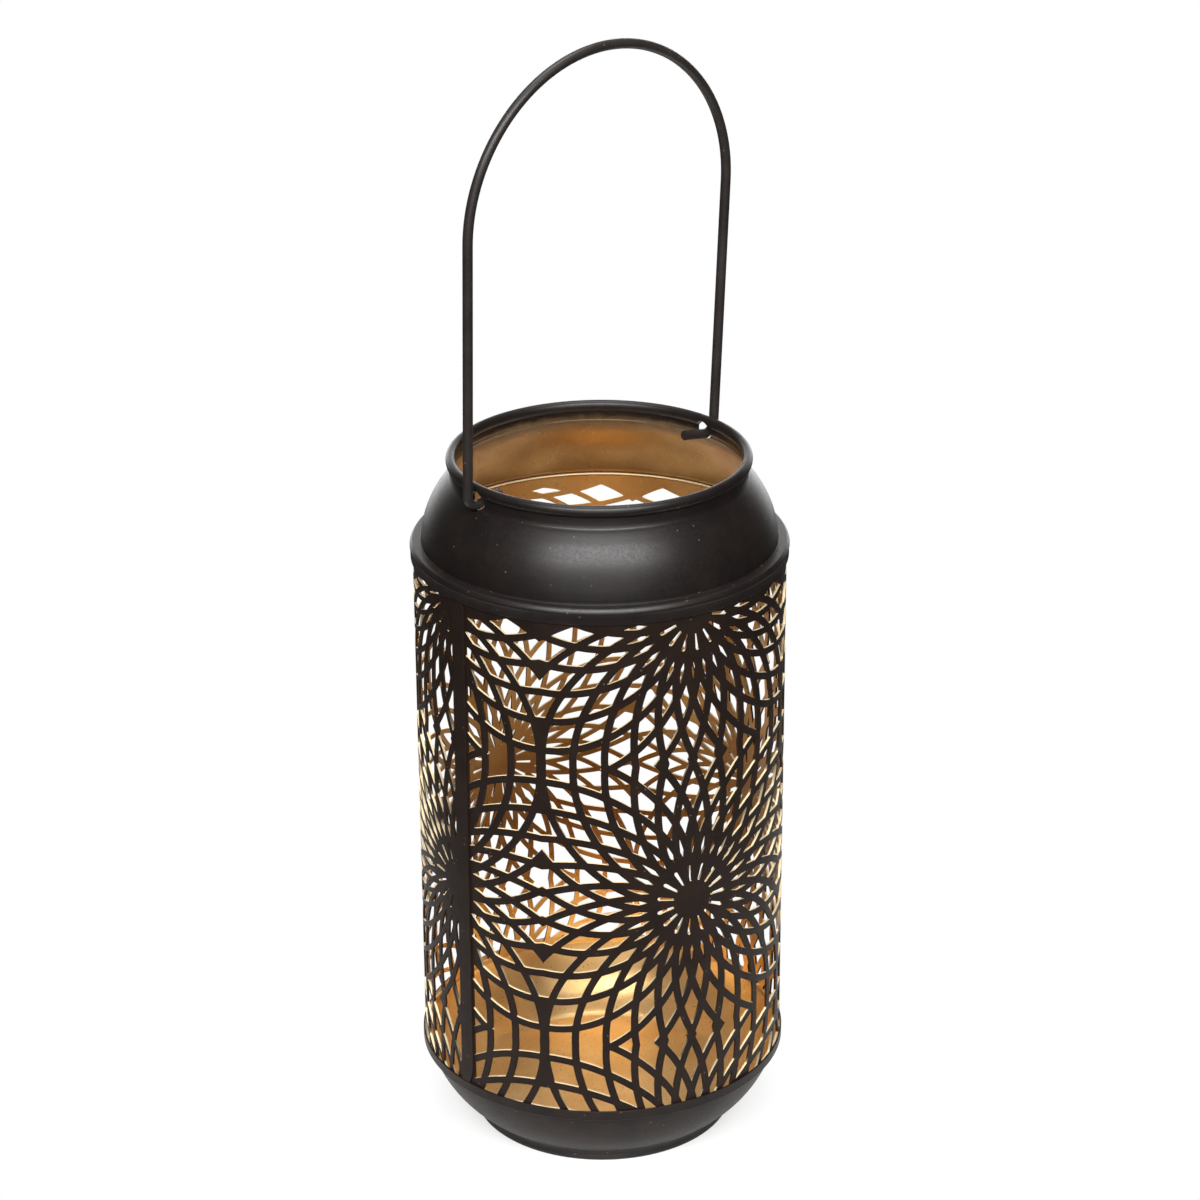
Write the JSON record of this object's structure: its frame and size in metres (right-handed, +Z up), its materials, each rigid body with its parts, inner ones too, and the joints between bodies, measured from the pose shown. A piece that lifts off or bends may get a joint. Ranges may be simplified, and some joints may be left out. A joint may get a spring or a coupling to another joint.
{
  "type": "candle lantern",
  "caption": "Cylindrical pierced-metal candle lantern with a domed open-necked collar, a shallow footed base cup and a tall swinging wire bail.",
  "frame": {"origin": "on the table, at the middle of the foot ring", "axes": "+Z up along the lantern's axis; X along the line through the two holes that the bail hooks into, which passes 2.4 mm behind the axis"},
  "size_m": [0.1523, 0.1522, 0.4614],
  "materials": {
    "collar_sheet": "satin black powder coat outside, satin gold paint inside",
    "sleeve_sheet": "satin black powder coat outside, satin gold paint inside",
    "cup_sheet": "satin black powder coat outside, satin gold paint inside",
    "bail_wire": "satin black powder coat"
  },
  "bodies": {
    "lantern": {"collar": "collar_sheet", "pierced_sleeve": "sleeve_sheet", "base_cup": "cup_sheet"},
    "bail": {"bail": "bail_wire"}
  },
  "joints": [
    {"name": "bail_swing", "type": "hinge", "parent": "lantern", "child": "bail", "pos_m": [0, 0.0024, 0.28651], "axis": [1, 0, 0], "range_deg": [-109, 99]}
  ]
}
